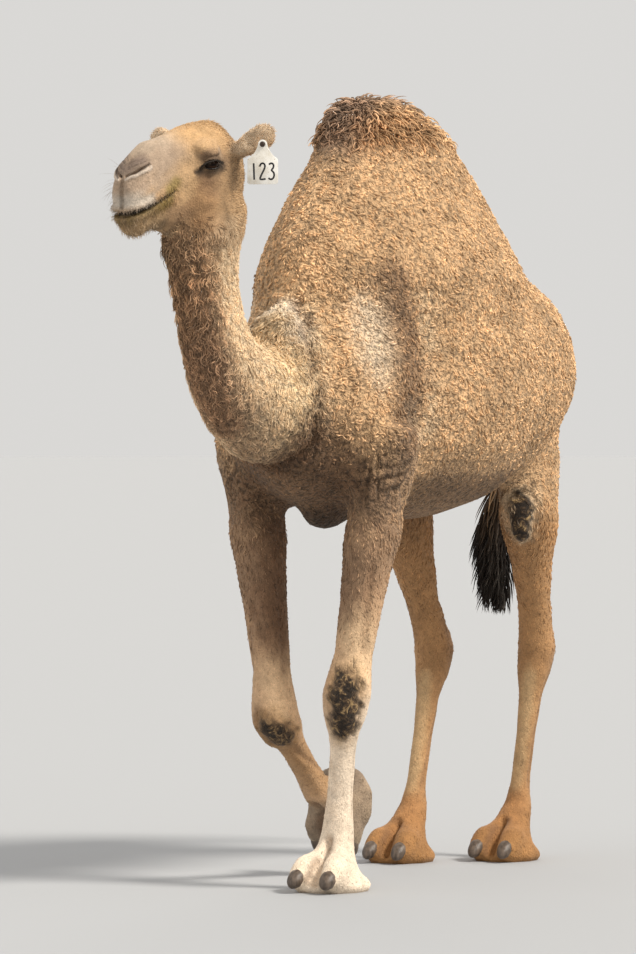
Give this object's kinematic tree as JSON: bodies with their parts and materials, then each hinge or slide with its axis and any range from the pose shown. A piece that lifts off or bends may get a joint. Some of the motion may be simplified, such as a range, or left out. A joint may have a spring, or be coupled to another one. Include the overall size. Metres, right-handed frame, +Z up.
{
  "type": "dromedary camel",
  "caption": "Life-size still model of a dromedary camel in mid stride, one forefoot lifted, woolly coat, tufted hump and a plain ear tag.",
  "frame": {"origin": "on the floor under the middle of the animal's bounding box", "axes": "+Z up, the animal faces -Y, its own left side is +X"},
  "size_m": [0.676, 2.0604, 2.03],
  "materials": {
    "coat": "short tight woolly curls, sandy golden tan",
    "leg_coat": "short flat hair, paler on the cannons and feet",
    "tail_hair": "long dark hair",
    "horn": "worn grey-brown horn",
    "eye": "wet dark brown eye",
    "tag": "weathered cream plastic"
  },
  "bodies": {
    "root": {"head": "coat", "lower_jaw": "coat", "ear_left": "coat", "ear_right": "coat", "eye_left": "eye", "eye_right": "eye", "ear_tag": "tag", "ear_tag_stud": "tag", "neck_upper": "coat", "neck_lower": "coat", "trunk": "coat", "hump": "coat", "tail": "coat", "tail_tuft": "tail_hair", "foreleg_left": "leg_coat", "forefoot_left": "leg_coat", "toenail_fore_left_outer": "horn", "toenail_fore_left_inner": "horn", "foreleg_right": "leg_coat", "forefoot_right": "leg_coat", "toenail_fore_right_outer": "horn", "toenail_fore_right_inner": "horn", "hindleg_left": "leg_coat", "hindfoot_left": "leg_coat", "toenail_hind_left_outer": "horn", "toenail_hind_left_inner": "horn", "hindleg_right": "leg_coat", "hindfoot_right": "leg_coat", "toenail_hind_right_outer": "horn", "toenail_hind_right_inner": "horn"}
  },
  "joints": []
}
